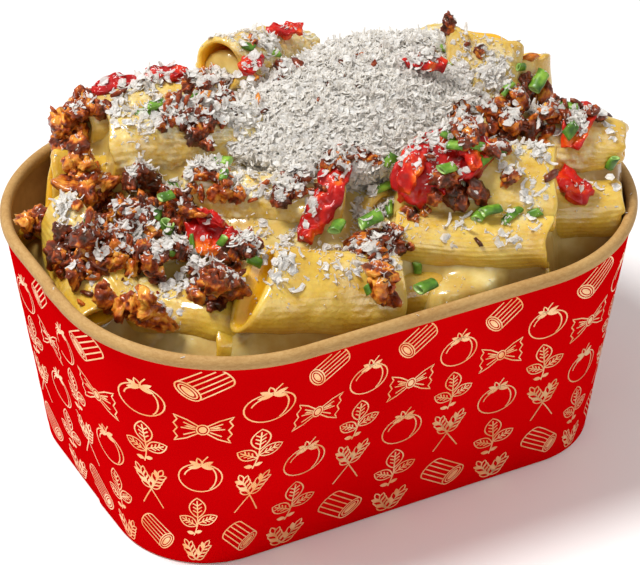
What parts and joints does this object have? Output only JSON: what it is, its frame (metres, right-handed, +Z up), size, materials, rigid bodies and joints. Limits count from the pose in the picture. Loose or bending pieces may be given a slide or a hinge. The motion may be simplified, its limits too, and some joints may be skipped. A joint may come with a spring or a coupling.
{
  "type": "rigatoni carbonara in a paper bowl",
  "caption": "Rigatoni carbonara heaped in a rounded rectangular takeaway paper bowl, topped with grated parmesan, crisp pancetta, tomato and chives.",
  "frame": {"origin": "bottom centre of the bowl", "axes": "+X along the bowl's long side, +Y across it, +Z up"},
  "size_m": [0.172, 0.1286, 0.1166],
  "materials": {
    "printed_paper": "glossy print outside, bare kraft inside",
    "kraft_paper": "matte kraft board",
    "pasta": "cooked pasta with a sauce gloss",
    "cheese": "finely grated, matte",
    "pancetta": "fried, oily",
    "tomato": "wet, wrinkled",
    "chive": "fresh cut"
  },
  "bodies": {
    "root": {"bowl_base": "kraft_paper", "bowl_wall": "printed_paper", "chive_01": "chive", "chive_02": "chive", "chive_03": "chive", "chive_04": "chive", "chive_05": "chive", "chive_06": "chive", "chive_07": "chive", "chive_08": "chive", "chive_09": "chive", "chive_10": "chive", "chive_11": "chive", "chive_12": "chive", "pancetta_01": "pancetta", "pancetta_02": "pancetta", "pancetta_03": "pancetta", "pancetta_04": "pancetta", "pancetta_05": "pancetta", "pancetta_06": "pancetta", "pancetta_07": "pancetta", "pancetta_08": "pancetta", "pancetta_09": "pancetta", "pancetta_10": "pancetta", "pancetta_11": "pancetta", "pancetta_12": "pancetta", "pancetta_13": "pancetta", "pancetta_14": "pancetta", "pancetta_15": "pancetta", "pancetta_16": "pancetta", "pancetta_17": "pancetta", "pancetta_18": "pancetta", "pancetta_19": "pancetta", "pancetta_20": "pancetta", "pancetta_21": "pancetta", "pancetta_22": "pancetta", "pancetta_23": "pancetta", "pancetta_24": "pancetta", "pancetta_25": "pancetta", "parmesan_mound": "cheese", "rigatoni_heap": "pasta", "tomato_01": "tomato", "tomato_02": "tomato", "tomato_03": "tomato", "tomato_04": "tomato", "tomato_05": "tomato", "tomato_06": "tomato", "tomato_07": "tomato", "tomato_08": "tomato", "tomato_09": "tomato", "tomato_10": "tomato"}
  },
  "joints": []
}
